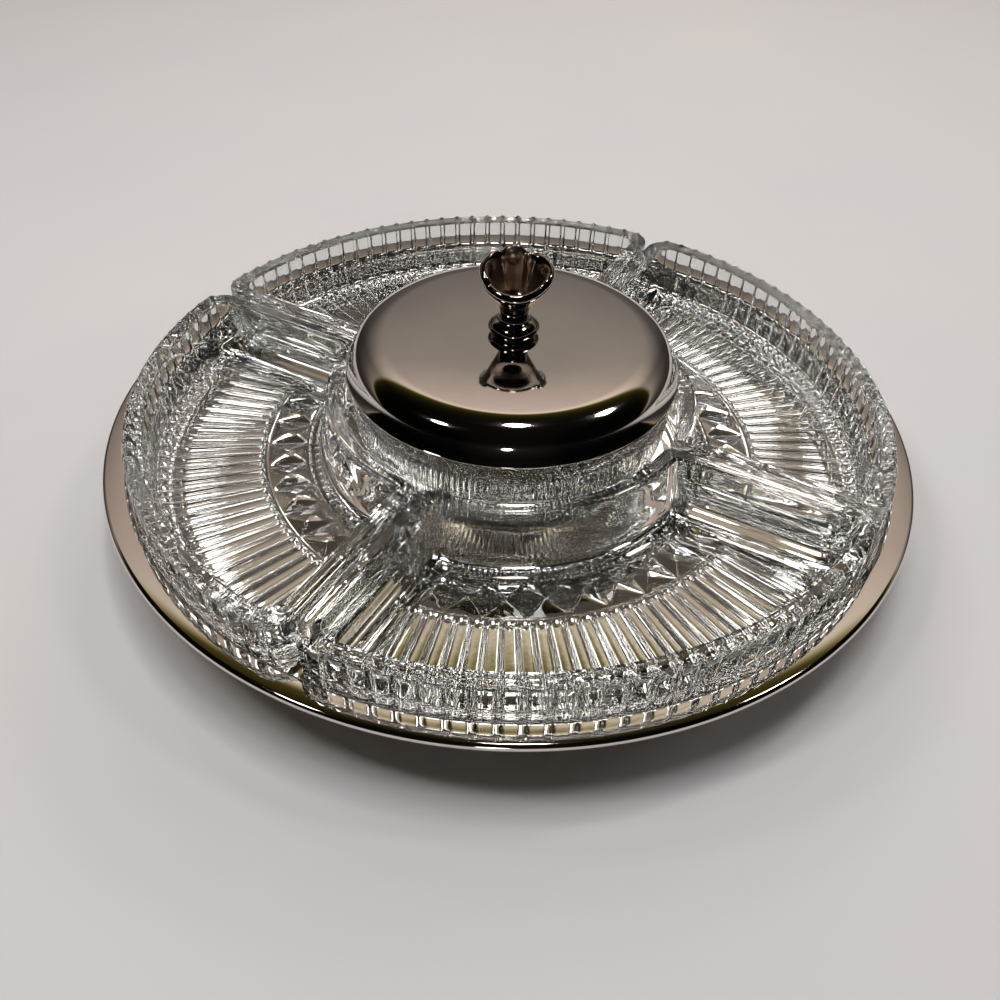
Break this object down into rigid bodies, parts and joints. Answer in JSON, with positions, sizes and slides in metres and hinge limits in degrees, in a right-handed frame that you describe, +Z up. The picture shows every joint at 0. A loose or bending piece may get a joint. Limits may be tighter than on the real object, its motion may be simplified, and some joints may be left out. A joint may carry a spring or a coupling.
{
  "type": "lazy susan turntable",
  "caption": "Round mirror-finish lazy susan on a ball bearing base, with lift-out wedge-shaped pressed glass dishes and a lidded glass centre bowl.",
  "frame": {"origin": "on the table, under the turntable's axis: the bottom centre of the bounding box", "axes": "+Z up along the spin axis, which is the short way through; each dish is centred on an X or Y axis, dish 1 on -Y"},
  "size_m": [0.406, 0.406, 0.1327],
  "materials": {
    "pressed_glass": "clear, pressed pattern underneath",
    "chrome_plate": "mirror plated sheet",
    "chrome_casting": "polished plated casting",
    "zinc_steel": "zinc plated",
    "ball_steel": "ground steel balls",
    "black_paint": "satin baked paint",
    "cage_plastic": "moulded",
    "foot_rubber": "matte"
  },
  "bodies": {
    "base": {"base_stand": "black_paint", "rubber_foot_1": "foot_rubber", "rubber_foot_2": "foot_rubber", "rubber_foot_3": "foot_rubber", "rubber_foot_4": "foot_rubber", "lower_race_plate": "zinc_steel", "race_rivet_1": "zinc_steel", "race_rivet_2": "zinc_steel", "race_rivet_3": "zinc_steel", "race_rivet_4": "zinc_steel", "centre_eyelet": "zinc_steel"},
    "cage": {"ball_cage": "cage_plastic", "ball_1": "ball_steel", "ball_2": "ball_steel", "ball_3": "ball_steel", "ball_4": "ball_steel", "ball_5": "ball_steel", "ball_6": "ball_steel", "ball_7": "ball_steel", "ball_8": "ball_steel", "ball_9": "ball_steel", "ball_10": "ball_steel", "ball_11": "ball_steel", "ball_12": "ball_steel"},
    "turntable": {"tray": "chrome_plate", "upper_race_plate": "zinc_steel", "race_nut_1": "zinc_steel", "race_nut_2": "zinc_steel", "race_nut_3": "zinc_steel", "race_nut_4": "zinc_steel"},
    "dish_1": {"glass_dish_1": "pressed_glass"},
    "dish_2": {"glass_dish_2": "pressed_glass"},
    "dish_3": {"glass_dish_3": "pressed_glass"},
    "dish_4": {"glass_dish_4": "pressed_glass"},
    "bowl": {"centre_bowl": "pressed_glass"},
    "lid": {"lid_shell": "chrome_plate", "lid_washer": "zinc_steel", "finial_screw": "zinc_steel", "finial": "chrome_casting"}
  },
  "joints": [
    {"name": "turntable_spin", "type": "hinge", "parent": "base", "child": "turntable", "pos_m": [0, 0, 0.0158], "axis": [0, 0, 1], "continuous": true},
    {"name": "cage_spin", "type": "hinge", "parent": "base", "child": "cage", "pos_m": [0, 0, 0.0158], "axis": [0, 0, 1], "continuous": true},
    {"name": "dish_1_lift", "type": "slide", "parent": "turntable", "child": "dish_1", "axis": [0, 0, 1], "range_m": [0, 0.12]},
    {"name": "dish_2_lift", "type": "slide", "parent": "turntable", "child": "dish_2", "axis": [0, 0, 1], "range_m": [0, 0.12]},
    {"name": "dish_3_lift", "type": "slide", "parent": "turntable", "child": "dish_3", "axis": [0, 0, 1], "range_m": [0, 0.12]},
    {"name": "dish_4_lift", "type": "slide", "parent": "turntable", "child": "dish_4", "axis": [0, 0, 1], "range_m": [0, 0.12]},
    {"name": "bowl_lift", "type": "slide", "parent": "turntable", "child": "bowl", "axis": [0, 0, 1], "range_m": [0, 0.12]},
    {"name": "lid_lift", "type": "slide", "parent": "bowl", "child": "lid", "axis": [0, 0, 1], "range_m": [0, 0.15]}
  ],
  "couplings": [
    {"joint": "cage_spin", "follows": "turntable_spin", "ratio": 0.5}
  ]
}
